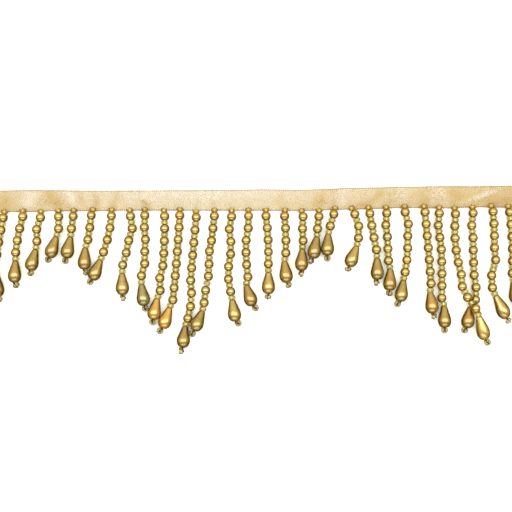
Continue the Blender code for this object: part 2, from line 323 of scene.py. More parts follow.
# Where a round bead leaves its strand's smooth curve. Strand 26 climbs over strand 27, and a
# second seed after a bead of strand 28 pushes the rest of that strand down
Nudge = namedtuple("Nudge", "strand round_bead right down up")
NUDGES = (
    Nudge(7, 2, 1.0, 0.0, 0.0),
    Nudge(8, 2, -0.5, 0.0, 0.0),
    Nudge(8, 5, 0.6, 0.0, 0.0),
    Nudge(9, 6, -0.9, 0.0, 0.0),
    Nudge(11, 7, 0.9, 0.0, 0.0),
    Nudge(11, 8, 0.8, 0.4, 0.0),
    Nudge(12, 4, -0.3, -0.9, 0.0),
    Nudge(12, 5, 0.2, -0.7, 0.0),
    Nudge(12, 6, 0.6, -0.8, 0.0),
    Nudge(13, 2, -0.9, 0.0, 0.0),
    Nudge(13, 5, -0.9, 0.0, 0.0),
    Nudge(13, 6, -1.0, 0.0, 0.0),
    Nudge(14, 2, 0.6, 0.0, 0.0),
    Nudge(22, 2, -0.6, 0.0, 0.0),
    Nudge(23, 2, 0.7, 0.0, 0.0),
    Nudge(25, 2, -0.9, 0.0, 0.0),
    Nudge(25, 3, -0.5, 0.0, 0.0),
    Nudge(26, 6, 0.0, 0.0, 0.1),
    Nudge(26, 7, -1.5, 0.0, 0.5),
    Nudge(26, 8, -1.6, -0.7, 2.3),
    Nudge(26, 9, -0.75, -1.2, 4.2),
    Nudge(27, 2, -0.6, 0.0, 0.0),
    Nudge(27, 7, 0.6, 0.0, 0.0),
    Nudge(28, 5, 0.7, 0.0, 0.0),
    Nudge(28, 6, -0.9, 1.6, 0.0),
    Nudge(28, 7, 0.0, 1.7, 0.0),
)
DOUBLE_SEED = (28, 5)

# Round beads whose finish stands out from the rest
Oddity = namedtuple("Oddity", "strand round_bead tone")
ODDITIES = (
    Oddity(7, 1, "silvery"),
    Oddity(7, 5, "silvery"),
    Oddity(10, 1, "rich"),
    Oddity(11, 6, "silvery"),
    Oddity(12, 7, "silvery"),
    Oddity(13, 7, "silvery"),
    Oddity(16, 1, "rich"),
    Oddity(22, 3, "silvery"),
    Oddity(23, 5, "rich"),
    Oddity(24, 6, "silvery"),
)

# The seed below each drop: its middle beyond the drop's end, and how its hole points
Stopper = namedtuple("Stopper", "right down tip turn")
STOPPERS = (
    Stopper(0.3, 1.4, 70, 30),
    Stopper(0.65, 1.2, 78, 35),
    Stopper(0.1, 1.5, 75, 15),
    Stopper(-0.9, 1.2, 30, -30),
    Stopper(-0.75, 1.6, 25, -20),
    Stopper(0.7, 1.0, 78, 40),
    Stopper(-1.2, 1.2, 25, -40),
    Stopper(0.15, 1.8, 85, 85),
    Stopper(0.3, 1.2, 35, 10),
    Stopper(-0.25, 1.6, 25, 0),
    Stopper(-1.5, 1.7, 25, -30),
    Stopper(-0.75, 2.2, 80, 75),
    Stopper(-1.1, 1.9, 35, -25),
    Stopper(1.3, 1.2, 25, 40),
    Stopper(1.5, 1.5, 30, 35),
    Stopper(-0.2, 1.4, 80, -10),
    Stopper(0.8, 1.1, 75, 45),
    Stopper(0.0, 1.4, 80, -80),
    Stopper(-0.65, 1.1, 75, 60),
    Stopper(0.2, 1.3, 25, 10),
    Stopper(-0.3, 1.4, 82, 0),
    Stopper(-0.3, 1.0, 80, 80),
    Stopper(0.05, 1.6, 70, -20),
    Stopper(-1.1, 1.6, 25, -35),
    Stopper(0.8, 1.8, 80, 60),
    Stopper(0.2, 1.6, 25, 5),
    Stopper(1.3, 1.9, 30, 30),
    Stopper(-0.7, 1.5, 40, -50),
    Stopper(1.4, 1.7, 80, 50),
    Stopper(0.3, 1.5, 40, 20),
)


def ease(share):
    """A smooth step from 0 to 1."""
    share = np.clip(share, 0.0, 1.0)
    return share * share * (3.0 - 2.0 * share)


def between(table, along):
    """A table's rows on both sides of a place, and the eased share of the way across."""
    for start, end in zip(table, table[1:]):
        if along <= end.along:
            return start, end, ease((along - start.along) / (end.along - start.along))
    return table[-1], table[-1], 0.0


def middle_line(along):
    """How far across the surface the ribbon's middle line lies, as the strands hang."""
    start, end, share = between(MIDDLE_LINE, along)
    return start.across + share * (end.across - start.across)


def ribbon_span(along):
    """The middle of the ribbon and its half width at a place along it."""
    start, end, share = between(EDGES, along)
    upper = start.upper + share * (end.upper - start.upper)
    lower = start.lower + share * (end.lower - start.lower)
    return (upper + lower) / 2.0, (upper - lower) / 2.0


def bump_of(offset):
    """A raised cosine, 1 at no offset and 0 from an offset of 1."""
    return 0.5 * (1.0 + math.cos(math.pi * min(abs(offset), 1.0)))


def ridges(table, along, across):
    """Height of a table's ridges at a place on the ribbon."""
    total = 0.0
    for ridge in table:
        offset = along - ridge.along - ridge.slant * across
        total += ridge.rise * bump_of(offset / ridge.half_width)
    return total


def ribbon_height(along, across):
    """Height of the ribbon's underside above the surface it lies on."""
    fade = ease((across - RIDGE_FADE_TO) / (RIDGE_FADE_FROM - RIDGE_FADE_TO))
    edge = EDGE_REST_HEIGHT * ease(-across / (RIBBON_WIDTH / 2))
    ripple = sum(
        wave.rise * (1.0 + math.sin(along / wave.length + across * wave.skew + wave.start))
        for wave in RIPPLES
    )
    crease_fade = ease((across - CREASE_FADE_FROM) / CREASE_FADE_WIDTH)
    crease = ridges(CREASES, along, across) * crease_fade
    return edge + ridges(RIDGES, along, across) * fade + ripple + crease


def painted_ribbon_sheen(along, across):
    """How pale the satin is painted at a place, as painted sheen and shade."""
    start, end, share = between(PAINTED_SHEEN, along)
    level = start.level + share * (end.level - start.level) + PAINTED_SHEEN_RISE_ACROSS * across
    for patch in PAINTED_SHEEN_PATCHES:
        rise = across - patch.across
        offset = (along - patch.along - patch.slant * rise) / patch.half_width
        level += PAINTED_PATCH_STRENGTH * patch.change * bump_of(offset) * bump_of(rise / patch.reach)
    return min(max(level, 0.0), 1.0)


def heading(degrees):
    """A level direction, turned to the right from straight down the fringe."""
    turn = math.radians(degrees)
    return Vector((math.sin(turn), -math.cos(turn), 0.0))


def bead_centres(number):
    """Middles of a strand's root seed and round beads, root first."""
    strand = STRANDS[number]
    root_y = middle_line(strand.root_x) - RIBBON_WIDTH / 2 + ROOT_SEED_OVER_EDGE - strand.hang
    centres = [Vector((strand.root_x, root_y, ROOT_SEED_HEIGHT))]
    nudges = {nudge.round_bead: nudge for nudge in NUDGES if nudge.strand == number}
    bulge = 4.0 * strand.middle - 2.0 * (strand.first + strand.last)
    for round_bead in range(1, strand.rounds + 1):
        share = (round_bead - 1) / (strand.rounds - 1)
        straight = strand.first + share * (strand.last - strand.first)
        x = strand.root_x + straight + bulge * share * (1.0 - share)
        y = root_y - ROOT_TO_FIRST_ROUND - (round_bead - 1) * strand.pitch
        centre = Vector((x, y, ROUND_RADIUS))
        if round_bead in nudges:
            nudge = nudges[round_bead]
            centre += Vector((nudge.right, -nudge.down, nudge.up))
        centres.append(centre)
    return centres


def drop_axis(number, centres):
    """The point where a strand's drop begins, and the direction in which it lies."""
    strand = STRANDS[number]
    apex = centres[-1] + heading(strand.neck) * LAST_ROUND_TO_DROP
    apex.z = strand.start + (centres[-1].z - ROUND_RADIUS) * LIFT_LEFT_AT_DROP
    stretch = DROP_STRETCH.get(number, 1.0)
    body = [point for point in DROP_PROFILE if point[0] > DROP_NECK_LENGTH]
    climb = max((radius - apex.z) / (along * stretch) for along, radius in body)
    axis = heading(strand.lean) * math.sqrt(1.0 - climb * climb)
    axis.z = climb
    return apex, axis


# Shapes turned about an axis, as (along, radius) points in a closed ring: in at one end of
# the bead's hole, over its lip, down the outside and back over the other lip

BALL_START_ANGLE = 0.30
BALL_POINTS = 15


def ball_points(start_angle, count, radius):
    """Points of a ball's outline from one bead hole to the other."""
    points = []
    for index in range(count):
        angle = start_angle + (math.pi - 2.0 * start_angle) * index / (count - 1)
        points.append((-radius * math.cos(angle), radius * math.sin(angle)))
    return points


ROUND_PROFILE = (
    [(-1.40, 0.46), (-1.97, 0.48), (-2.10, 0.56)]
    + ball_points(BALL_START_ANGLE, BALL_POINTS, ROUND_RADIUS)
    + [(2.10, 0.56), (1.97, 0.48), (1.40, 0.46)]
)
SEED_PROFILE = (
    (-0.62, 0.52),
    (-0.76, 0.62),
    (-0.84, 0.84),
    (-0.92, 1.15),
    (-0.83, 1.47),
    (-0.50, 1.68),
    (0.0, SEED_OUTER),
    (0.50, 1.68),
    (0.83, 1.47),
    (0.92, 1.15),
    (0.84, 0.84),
    (0.76, 0.62),
    (0.62, 0.52),
)
DROP_PROFILE = (
    (1.1, 0.45),
    (0.16, 0.48),
    (0.0, 0.72),
    (0.02, 1.10),
    (0.15, 1.36),
    (0.5, 1.51),
    (1.0, 1.64),
    (1.9, 1.92),
    (2.9, 2.21),
    (3.85, 2.49),
    (4.8, 2.79),
    (5.75, 3.06),
    (6.5, 3.19),
    (7.1, 3.22),
    (7.7, 3.17),
    (8.2, 3.06),
    (8.7, 2.88),
    (9.2, 2.61),
    (9.63, 2.28),
    (9.95, 1.92),
    (10.16, 1.52),
    (10.27, 1.16),
    (DROP_LENGTH, 0.86),
    (10.24, 0.66),
    (10.0, 0.55),
    (9.1, 0.50),
)


def turned(profile, segments):
    """A closed ring turned from a profile about Z: its points and its four-sided faces."""
    points = []
    for along, radius in profile:
        for corner in range(segments):
            angle = 2.0 * math.pi * corner / segments
            points.append((radius * math.cos(angle), radius * math.sin(angle), along))
    faces = []
    count = len(profile)
    for index in range(count):
        following = (index + 1) % count
        for corner in range(segments):
            beside = (corner + 1) % segments
            faces.append((
                index * segments + corner,
                index * segments + beside,
                following * segments + beside,
                following * segments + corner,
            ))
    return np.array(points), np.array(faces)


def tube(path, radius, sides=6):
    """A capped tube along a path, in world millimetres: its points and its faces."""
    points = []
    faces = []
    for index, centre in enumerate(path):
        before = path[max(index - 1, 0)]
        after = path[min(index + 1, len(path) - 1)]
        run = (after - before).normalized()
        side = run.cross(UP)
        side = side.normalized() if side.length > 1e-3 else Vector((1.0, 0.0, 0.0))
        up = side.cross(run)
        for corner in range(sides):
            angle = 2.0 * math.pi * corner / sides
            points.append(tuple(centre + (side * math.cos(angle) + up * math.sin(angle)) * radius))
    for index in range(len(path) - 1):
        for corner in range(sides):
            beside = (corner + 1) % sides
            low = index * sides
            high = low + sides
            faces.append((low + corner, low + beside, high + beside, high + corner))
    faces.append(tuple(range(sides - 1, -1, -1)))
    faces.append(tuple(range((len(path) - 1) * sides, len(path) * sides)))
    return points, faces


def smooth_path(points, steps):
    """A smooth curve through the points."""
    padded = [points[0]] + list(points) + [points[-1]]
    path = []
    for a, b, c, d in zip(padded, padded[1:], padded[2:], padded[3:]):
        for step in range(steps):
            t = step / steps
            path.append(0.5 * (
                2.0 * b + (c - a) * t + (2.0 * a - 5.0 * b + 4.0 * c - d) * t * t
                + (3.0 * b - a - 3.0 * c + d) * t * t * t
            ))
    path.append(points[-1])
    return path


def mesh_object(name, points, faces, *finishes):
    """A smooth mesh from points in millimetres."""
    mesh = bpy.data.meshes.new(name)
    mesh.from_pydata((np.array(points) * MM).tolist(), [], faces)
    for finish in finishes:
        mesh.materials.append(finish)
    mesh.shade_smooth()
    mesh.update()
    thing = bpy.data.objects.new(name, mesh)
    bpy.context.scene.collection.objects.link(thing)
    return thing


Placed = namedtuple("Placed", "centre axis scale tone")

# How far apart, in millimetres, two beads' places in the grain may be drawn
PLACE_SPREAD = 400.0


def joined_beads(name, profile, segments, beads, dice, finishes):
    """One mesh of many turned beads, with each point's tone and place in its own bead.

    The place is moved by a random step, so that no two beads have the same grain. A second
    finish goes on the faces of the hole.
    """
    template, quads = turned(profile, segments)
    points = []
    faces = []
    tones = []
    places = []
    for bead in beads:
        roll = Matrix.Rotation(dice.uniform(0.0, math.tau), 3, "Z")
        turn = np.array(bead.axis.to_track_quat("Z", "Y").to_matrix() @ roll)
        base = len(points) * len(template)
        points.append((template * bead.scale) @ turn.T + np.array(bead.centre))
        faces.append(quads + base)
        tones.append(np.tile((*bead.tone, 1.0), (len(template), 1)))
        places.append(template + np.array((dice.uniform(0.0, PLACE_SPREAD), 0.0, 0.0)))
    all_faces = np.concatenate(faces)
    thing = mesh_object(name, np.concatenate(points), all_faces.tolist(), *finishes)
    mesh = thing.data
    tone = mesh.attributes.new("tone", "FLOAT_COLOR", "POINT")
    tone.data.foreach_set("color", np.concatenate(tones).ravel())
    place = mesh.attributes.new("place", "FLOAT_VECTOR", "POINT")
    place.data.foreach_set("vector", np.concatenate(places).ravel())
    if len(finishes) > 1:
        ring = np.arange(len(all_faces)) % len(quads) // segments
        in_hole = ring == len(profile) - 1
        mesh.polygons.foreach_set("material_index", in_hole.astype(np.int32))
    mesh.update()
    return thing


# Materials

class Nodes:
    """The node tree of a material or the world, with short ways to add and join nodes."""

    def __init__(self, owner, shader):
        owner.use_nodes = True
        self.tree = owner.node_tree
        self.shader = self.tree.nodes[shader]

    def set(self, **values):
        """Set the shader's own sockets."""
        for name, value in values.items():
            self.shader.inputs[name.replace("_", " ")].default_value = value

    def add(self, kind, inputs=(), **settings):
        """Add a node with its settings, and its inputs as values or joined sockets."""
        node = self.tree.nodes.new(kind)
        for name, value in settings.items():
            setattr(node, name, value)
        for key, value in dict(inputs).items():
            if isinstance(value, bpy.types.NodeSocket):
                self.tree.links.new(value, node.inputs[key])
            else:
                node.inputs[key].default_value = value
        return node

    def join(self, socket, name):
        """Join a socket to the shader."""
        self.tree.links.new(socket, self.shader.inputs[name])

    def attribute(self, name, output):
        """A value stored on the mesh's points."""
        return self.add("ShaderNodeAttribute", attribute_name=name).outputs[output]

    def noise(self, place, scale, detail=2.0):
        """Soft noise at a place, as a number from 0 to 1."""
        node = self.add("ShaderNodeTexNoise", {"Vector": place, "Scale": scale, "Detail": detail})
        return node.outputs["Fac"]

    def stretched(self, place, scale, turn=0.0):
        """A place turned about Z, then scaled by a different amount along each axis."""
        node = self.add("ShaderNodeMapping", {
            "Vector": place,
            "Rotation": (0.0, 0.0, math.radians(turn)),
            "Scale": scale,
        })
        return node.outputs["Vector"]

    def mixed(self, share, first, second, blend="MIX"):
        """A mix of two colours."""
        inputs = {0: share, 6: first, 7: second}
        node = self.add("ShaderNodeMix", inputs, data_type="RGBA", blend_type=blend)
        return node.outputs[2]

    def reckoned(self, operation, first, second=0.0):
        """The result of a sum on two numbers."""
        return self.add("ShaderNodeMath", {0: first, 1: second}, operation=operation).outputs[0]

    def mapped(self, value, low, high, start=0.0, end=1.0):
        """A value moved from one range to another."""
        node = self.add("ShaderNodeMapRange", {
            "Value": value,
            "From Min": low,
            "From Max": high,
            "To Min": start,
            "To Max": end,
        })
        return node.outputs["Result"]

    def ramp(self, value, stops):
        """A colour read off a row of (place, colour) stops."""
        node = self.add("ShaderNodeValToRGB", {"Fac": value})
        elements = node.color_ramp.elements
        while len(elements) < len(stops):
            elements.new(1.0)
        for element, (position, colour) in zip(elements, stops):
            element.position = position
            element.color = (*colour, 1.0)
        return node.outputs["Color"]

    def bump(self, height, strength, distance):
        """Bump the shader's surface by a height."""
        inputs = {"Height": height, "Strength": strength, "Distance": distance}
        self.join(self.add("ShaderNodeBump", inputs).outputs["Normal"], "Normal")


class Finish(Nodes):
    """A new material."""

    def __init__(self, name):
        self.material = bpy.data.materials.new(name)
        super().__init__(self.material, "Principled BSDF")


def gold_finish(name, roughness, grain_scale, coat):
    """Metallic lacquer on a moulded bead, worn and toned a little from place to place."""
    nodes = Finish(name)
    nodes.set(Metallic=1.0, Coat_Weight=1.0, Coat_Roughness=0.07, Coat_IOR=coat)
    tone = nodes.attribute("tone", "Color")
    place = nodes.attribute("place", "Vector")
    cloud = nodes.noise(place, 0.55, 3.0)
    dark = nodes.mixed(1.0, tone, (0.82, 0.75, 0.64, 1.0), "MULTIPLY")
    nodes.join(nodes.mixed(nodes.mapped(cloud, 0.42, 0.68), tone, dark), "Base Color")
    grain = nodes.noise(nodes.stretched(place, grain_scale), 1.0, 3.0)
    nodes.join(nodes.mapped(grain, 0.3, 0.7, roughness - 0.05, roughness + 0.07), "Roughness")
    nodes.bump(grain, 0.12, 0.00006)
    return nodes.material


def glass_finish(name, paleness):
    """Clear tinted glass of the seed beads, streaked with paler glass."""
    nodes = Finish(name)
    nodes.set(IOR=1.65, Transmission_Weight=0.8)
    tone = nodes.attribute("tone", "Color")
    place = nodes.attribute("place", "Vector")
    streak = nodes.noise(nodes.stretched(place, (1.2, 1.2, 0.3)), 1.0, 2.0)
    pale = nodes.mixed(paleness, tone, (0.98, 0.92, 0.62, 1.0))
    nodes.join(nodes.mixed(nodes.mapped(streak, 0.4, 0.65), tone, pale), "Base Color")
    nodes.join(nodes.mapped(streak, 0.3, 0.7, 0.05, 0.12), "Roughness")
    return nodes.material


def lining_finish():
    """Bright lining of the seed beads' holes."""
    nodes = Finish("seed_lining")
    nodes.set(Metallic=1.0)
    spots = nodes.noise(nodes.attribute("place", "Vector"), 2.2, 2.0)
    bright = (1.0, 0.95, 0.76, 1.0)
    dull = (0.62, 0.45, 0.20, 1.0)
    nodes.join(nodes.mixed(nodes.mapped(spots, 0.50, 0.68), bright, dull), "Base Color")
    nodes.join(nodes.mapped(spots, 0.3, 0.7, 0.25, 0.45), "Roughness")
    return nodes.material


def painted_shade_thread_finish():
    """Fine twisted beading thread, painted dark brown as painted shade for the gaps between beads
    and the drops' shadowed mouths.
    """
    nodes = Finish("beading_thread_painted_shade")
    nodes.set(Specular_IOR_Level=0.15)
    place = nodes.add("ShaderNodeTexCoord").outputs["Object"]
    twist = nodes.noise(nodes.stretched(place, (3000.0, 3000.0, 3000.0)), 1.0, 1.0)
    # Painted shade: the thread is made dark brown so that it darkens the gaps it shows in
    dark = (0.035, 0.015, 0.003, 1.0)
    light = (0.10, 0.052, 0.014, 1.0)
    nodes.join(nodes.mixed(nodes.mapped(twist, 0.35, 0.65), dark, light), "Base Color")
    nodes.join(nodes.mapped(twist, 0.3, 0.7, 0.5, 0.75), "Roughness")
    nodes.bump(twist, 0.5, 0.00008)
    return nodes.material


def satin_finish():
    """Cream satin with painted sheen and shade coming and going, a fine grain and faint lines
    along it.
    """
    nodes = Finish("cream_satin")
    nodes.set(Sheen_Weight=0.1, Sheen_Roughness=0.4, Anisotropic=0.3)
    place = nodes.add("ShaderNodeTexCoord").outputs["Object"]
    cloud = nodes.noise(nodes.stretched(place, (260.0, 320.0, 300.0), 20.0), 1.0, 3.0)
    clouding = nodes.mapped(cloud, 0.3, 0.7, -0.08, 0.08)
    # Painted sheen: the stored painted sheen level, with soft random clouds, picks the satin's
    # colour
    level = nodes.reckoned("ADD", nodes.attribute("painted_sheen", "Fac"), clouding)
    base = nodes.ramp(level, (
        (0.0, (0.370, 0.220, 0.078)),
        (0.3, (0.421, 0.290, 0.137)),
        (0.6, (0.468, 0.359, 0.250)),
        (1.0, (0.542, 0.477, 0.463)),
    ))
    rising = nodes.noise(nodes.stretched(place, (2450.0, 4500.0, 2450.0), 35.0), 1.0, 0.0)
    falling = nodes.noise(nodes.stretched(place, (2250.0, 4100.0, 2250.0), -40.0), 1.0, 0.0)
    grain = nodes.mapped(nodes.reckoned("MULTIPLY", rising, falling), 0.16, 0.34, 0.0, 0.9)
    lines = nodes.add("ShaderNodeTexWave", {
        "Vector": nodes.stretched(place, (420.0, 1400.0, 1400.0)),
        "Scale": 1.0,
        "Distortion": 2.5,
        "Detail": 1.0,
    }, bands_direction="Y").outputs["Fac"]
    weave = nodes.reckoned("ADD", grain, nodes.mapped(lines, 0.0, 1.0, 0.0, 0.15))
    shade = nodes.mixed(1.0, base, (0.54, 0.49, 0.42, 1.0), "MULTIPLY")
    nodes.join(nodes.mixed(nodes.mapped(weave, 0.2, 1.0), base, shade), "Base Color")
    nodes.join(nodes.mapped(weave, 0.2, 0.9, 0.42, 0.56), "Roughness")
    nodes.bump(weave, 0.3, 0.00005)
    return nodes.material


def selvedge_finish():
    """Tan yarn of the weft turns along the ribbon's woven edges."""
    nodes = Finish("selvedge_yarn")
    nodes.set(Sheen_Weight=0.1)
    place = nodes.add("ShaderNodeTexCoord").outputs["Object"]
    yarn = nodes.noise(nodes.stretched(place, (2500.0, 6000.0, 6000.0)), 1.0, 2.0)
    light = (0.16, 0.085, 0.055, 1.0)
    dark = (0.11, 0.058, 0.038, 1.0)
    nodes.join(nodes.mixed(nodes.mapped(yarn, 0.35, 0.65), light, dark), "Base Color")
    nodes.join(nodes.mapped(yarn, 0.3, 0.7, 0.5, 0.7), "Roughness")
    nodes.bump(yarn, 0.4, 0.00006)
    return nodes.material


# Pieces

def make_ribbon():
    """The satin sheet, with slightly thicker selvedges."""
    columns = int(RIBBON_LENGTH / RIBBON_STEP) + 1
    shares = [math.sin(math.pi * (row / RIBBON_ROWS - 0.5)) for row in range(RIBBON_ROWS + 1)]
    points = []
    painted_sheen = []
    for side in (0, 1):
        for column in range(columns):
            x = -RIBBON_LENGTH / 2 + column * RIBBON_STEP
            middle, half = ribbon_span(x)
            for share in shares:
                y = share * half
                from_edge = half - abs(y)
                swell = SELVEDGE_RISE * bump_of((from_edge - SELVEDGE_WIDTH) / SELVEDGE_WIDTH)
                z = ribbon_height(x, y) + (RIBBON_THICKNESS + swell if side else 0.0)
                points.append((x, y + middle, z))
                # The painted sheen and shade level of each point
                painted_sheen.append(painted_ribbon_sheen(x, y))
    rows = RIBBON_ROWS + 1
    layer = columns * rows
    faces = []
    for column in range(columns - 1):
        for row in range(RIBBON_ROWS):
            low = column * rows + row
            high = low + rows
            faces.append((low, low + 1, high + 1, high))
            faces.append((layer + low, layer + high, layer + high + 1, layer + low + 1))
        start = column * rows
        faces.append((start, start + rows, layer + start + rows, layer + start))
        end = start + rows - 1
        faces.append((end, layer + end, layer + end + rows, end + rows))
    last = (columns - 1) * rows
    for row in range(RIBBON_ROWS):
        faces.append((row, layer + row, layer + row + 1, row + 1))
        faces.append((last + row, last + row + 1, layer + last + row + 1, layer + last + row))
    ribbon = mesh_object("ribbon_satin", points, faces, satin_finish())
    levels = ribbon.data.attributes.new("painted_sheen", "FLOAT", "POINT")
    levels.data.foreach_set("value", painted_sheen)
    return ribbon


def make_selvedges(dice):
    """Weft turns that show as a fine row of dashes along both edges of the ribbon."""
    points = []
    faces = []
    count = int(RIBBON_LENGTH / WEFT_PITCH)
    for edge in (-1, 1):
        for index in range(count):
            x = -RIBBON_LENGTH / 2 + (index + 0.5) * RIBBON_LENGTH / count
            middle, half = ribbon_span(x)
            y = edge * (half - WEFT_INSET)
            length = WEFT_LENGTH * dice.uniform(WEFT_LENGTH_FROM, WEFT_LENGTH_TO)
            base = len(points)
            for ring in range(WEFT_RINGS):
                share = ring / (WEFT_RINGS - 1)
                along = x + (share - 0.5) * length
                swell = WEFT_END_SHARE + (1.0 - 2.0 * WEFT_END_SHARE) * share
                radius = WEFT_RADIUS * math.sin(math.pi * swell)
                top = ribbon_height(along, y) + RIBBON_THICKNESS + SELVEDGE_RISE
                for corner in range(WEFT_SIDES):
                    angle = 2.0 * math.pi * corner / WEFT_SIDES
                    across = y + middle + radius * math.cos(angle)
                    height = top - WEFT_SINK + WEFT_FLATNESS * radius * math.sin(angle)
                    points.append((along, across, height))
            for ring in range(WEFT_RINGS - 1):
                low = base + ring * WEFT_SIDES
                high = low + WEFT_SIDES
                for corner in range(WEFT_SIDES):
                    beside = (corner + 1) % WEFT_SIDES
                    faces.append((low + corner, high + corner, high + beside, low + beside))
            faces.append(tuple(base + corner for corner in range(WEFT_SIDES)))
            last = base + (WEFT_RINGS - 1) * WEFT_SIDES
            faces.append(tuple(last + corner for corner in range(WEFT_SIDES - 1, -1, -1)))
    return mesh_object("ribbon_selvedges", points, faces, selvedge_finish())


def varied(colour, dice, spread):
    """A tone a little lighter or darker, and a little redder or greener, than asked."""
    light = dice.uniform(1.0 - spread, 1.0 + spread)
    warm_spread = spread * WARMTH_SHARE
    warm = dice.uniform(1.0 - warm_spread, 1.0 + warm_spread)
    red, green, blue = colour
    return (red * light, green * light * warm, blue * light * warm * warm)


def tilted(run, dice, degrees):
    """A direction turned a little at random, as a loose bead sits on its thread."""
    wobble = math.radians(degrees)
    offset = Vector((dice.gauss(0.0, wobble), dice.gauss(0.0, wobble), dice.gauss(0.0, wobble)))
    return (run + offset).normalized()


class Beads:
    """Every bead of every strand, and the paths of the threads that carry them."""

    def __init__(self, dice):
        self.dice = dice
        self.rounds = []
        self.seeds = []
        self.roots = []
        self.drops = []
        self.stoppers = []
        self.paths = []
        self.oddities = {(row.strand, row.round_bead): row.tone for row in ODDITIES}
        for number in range(len(STRANDS)):
            self.add_strand(number)

    def add_strand(self, number):
        """Thread one strand from the ribbon's edge down to its drop."""
        dice = self.dice
        centres = bead_centres(number)
        apex, axis = drop_axis(number, centres)
        stops = centres + [apex]
        root_run = (centres[1] - centres[0]).normalized()
        amber = varied(SEED_AMBER, dice, ROOT_TONE_SPREAD)
        root_lie = tilted(root_run, dice, ROOT_WOBBLE)
        self.roots.append(Placed(centres[0], root_lie, ROOT_SEED_SCALE, amber))
        for index in range(1, len(centres)):
            run = (stops[index + 1] - stops[index - 1]).normalized()
            finish = self.oddities.get((number, index), "round")
            tone = varied(TONES[finish], dice, ROUND_TONE_SPREAD)
            size = 1.0 - abs(dice.gauss(0.0, SIZE_SPREAD))
            lie = tilted(run, dice, ROUND_WOBBLE)
            self.rounds.append(Placed(centres[index], lie, size, tone))
            onward = axis if index == len(centres) - 1 else None
            self.add_seeds((number, index), centres[index], stops[index + 1], onward)
        tone = varied(TONES[STRANDS[number].tone], dice, DROP_TONE_SPREAD)
        stretch = DROP_STRETCH.get(number, 1.0)
        self.drops.append(Placed(apex, axis, (1.0, 1.0, stretch), tone))
        bend = centres[0] - root_run * THREAD_BEND
        into_ribbon = [bend - UP * THREAD_DEPTH, bend - UP * THREAD_DEPTH / 4.0]
        into_drop = [apex + axis * THREAD_INSIDE_DROP]
        self.paths.append((THREAD_RADIUS, into_ribbon + stops + into_drop))
        self.add_stopper(STOPPERS[number], apex, axis, stretch)

    def add_seeds(self, spot, here, after, onward):
        """The seed bead, or two of them, between a round bead and what follows it.

        A seed above a drop leans halfway toward the direction in which the drop lies.
        """
        dice = self.dice
        run = (after - here).normalized()
        reach = (after - here).length
        free_end = reach if onward else reach - ROUND_HALF_LENGTH
        middle = here + run * (ROUND_HALF_LENGTH + free_end) / 2.0
        count = 2 if spot == DOUBLE_SEED else 1
        room = free_end - ROUND_HALF_LENGTH + SEED_DIP
        half = min(SEED_HALF_LENGTH, room / count / 2.0)
        lie = (run + onward).normalized() if onward else run
        for index in range(count):
            place = middle + run * half * (2 * index - count + 1)
            size = 1.0 + dice.gauss(0.0, SIZE_SPREAD)
            scale = (size, size, size * half / SEED_HALF_LENGTH)
            seed_lie = tilted(lie, dice, SEED_WOBBLE)
            tone = varied(SEED_YELLOW, dice, SEED_TONE_SPREAD)
            self.seeds.append(Placed(place, seed_lie, scale, tone))

    def add_stopper(self, stopper, apex, axis, stretch):
        """The seed below a drop, and the thread that loops through it, with a dark knot of painted
        shade at the drop's mouth.
        """
        end = apex + axis * STRAND_END * stretch
        length = DROP_LENGTH * stretch
        tip = math.radians(stopper.tip)
        hole = heading(stopper.turn) * math.sin(tip) + UP * math.cos(tip)
        half_height = SEED_HALF_LENGTH * math.cos(tip) + SEED_OUTER * math.sin(tip)
        height = half_height + STOPPER_CLEARANCE
        centre = Vector((end.x + stopper.right, end.y - stopper.down, height))
        belly = apex + axis * (length - BELLY_FROM_END)
        apart = math.sqrt(STOPPER_REACH ** 2 - (belly.z - centre.z) ** 2)
        flat = (centre - belly).to_2d()
        if flat.length < apart:
            centre.xy = belly.xy + flat.normalized() * apart
        tone = varied(SEED_PALE, self.dice, STOPPER_TONE_SPREAD)
        lie = tilted(hole, self.dice, STOPPER_WOBBLE)
        self.stoppers.append(Placed(centre, lie, STOPPER_SCALE, tone))
        away = Vector((centre.x - end.x, centre.y - end.y, 0.0)).normalized()
        inside = apex + axis * (length - LOOP_START)
        mouth = apex + axis * (length + LOOP_MOUTH)
        # A dark knot of painted shade at the drop's mouth
        shade_knot = mouth + axis * PAINTED_SHADE_KNOT_RADIUS + UP * PAINTED_SHADE_KNOT_LIFT
        turns = [
            shade_knot + heading(PAINTED_SHADE_KNOT_TURN * step) * PAINTED_SHADE_KNOT_RADIUS + UP * PAINTED_SHADE_KNOT_RISE * step
            for step in range(PAINTED_SHADE_KNOT_STEPS)
        ]
        through = [centre + hole * HOLE_ABOVE, centre, centre - hole * HOLE_BELOW]
        rim = centre - hole * RIM_BELOW - away * RIM_OUT
        back = [rim, mouth - UP * RETURN_BELOW, inside]
        loop = smooth_path([inside, mouth] + turns + through + back, LOOPED_THREAD_STEPS)
        self.paths.append((LOOPED_THREAD_RADIUS, loop))


def make_threads(paths):
    """The strands' threads, seen in the gaps between beads and round the stoppers, dark as painted
    shade there.
    """
    points = []
    faces = []
    for radius, path in paths:
        more_points, more_faces = tube(path, radius)
        base = len(points)
        points.extend(more_points)
        faces.extend(tuple(base + corner for corner in face) for face in more_faces)
    return mesh_object("threads_painted_shade", points, faces, painted_shade_thread_finish())


# Setting

FLOOR_REACH = 3000.0

# Light panels, in metres, all facing the origin. Radiance is how bright a panel looks
Panel = namedtuple("Panel", "name direction size radiance")
PANELS = (
    Panel("top_panel", (0.0, 0.17, 1.0), (3.20, 0.87), 3.1),
    Panel("low_panel", (0.0, -1.26, 1.0), (1.40, 0.46), 2.3),
)
PANEL_DISTANCE = 1.3
PANEL_TINT = (0.86, 1.0, 0.98)

# The room's darker bar, in shares of the way toward -Y: where its middle lies, how far it is
# fully dark on both sides of that and where it has faded out, and the light that it leaves
BAR_MIDDLE = 0.43
BAR_HALF_WIDTH = 0.17
BAR_FADE_END = 0.22
BAR_LIGHT = 0.45


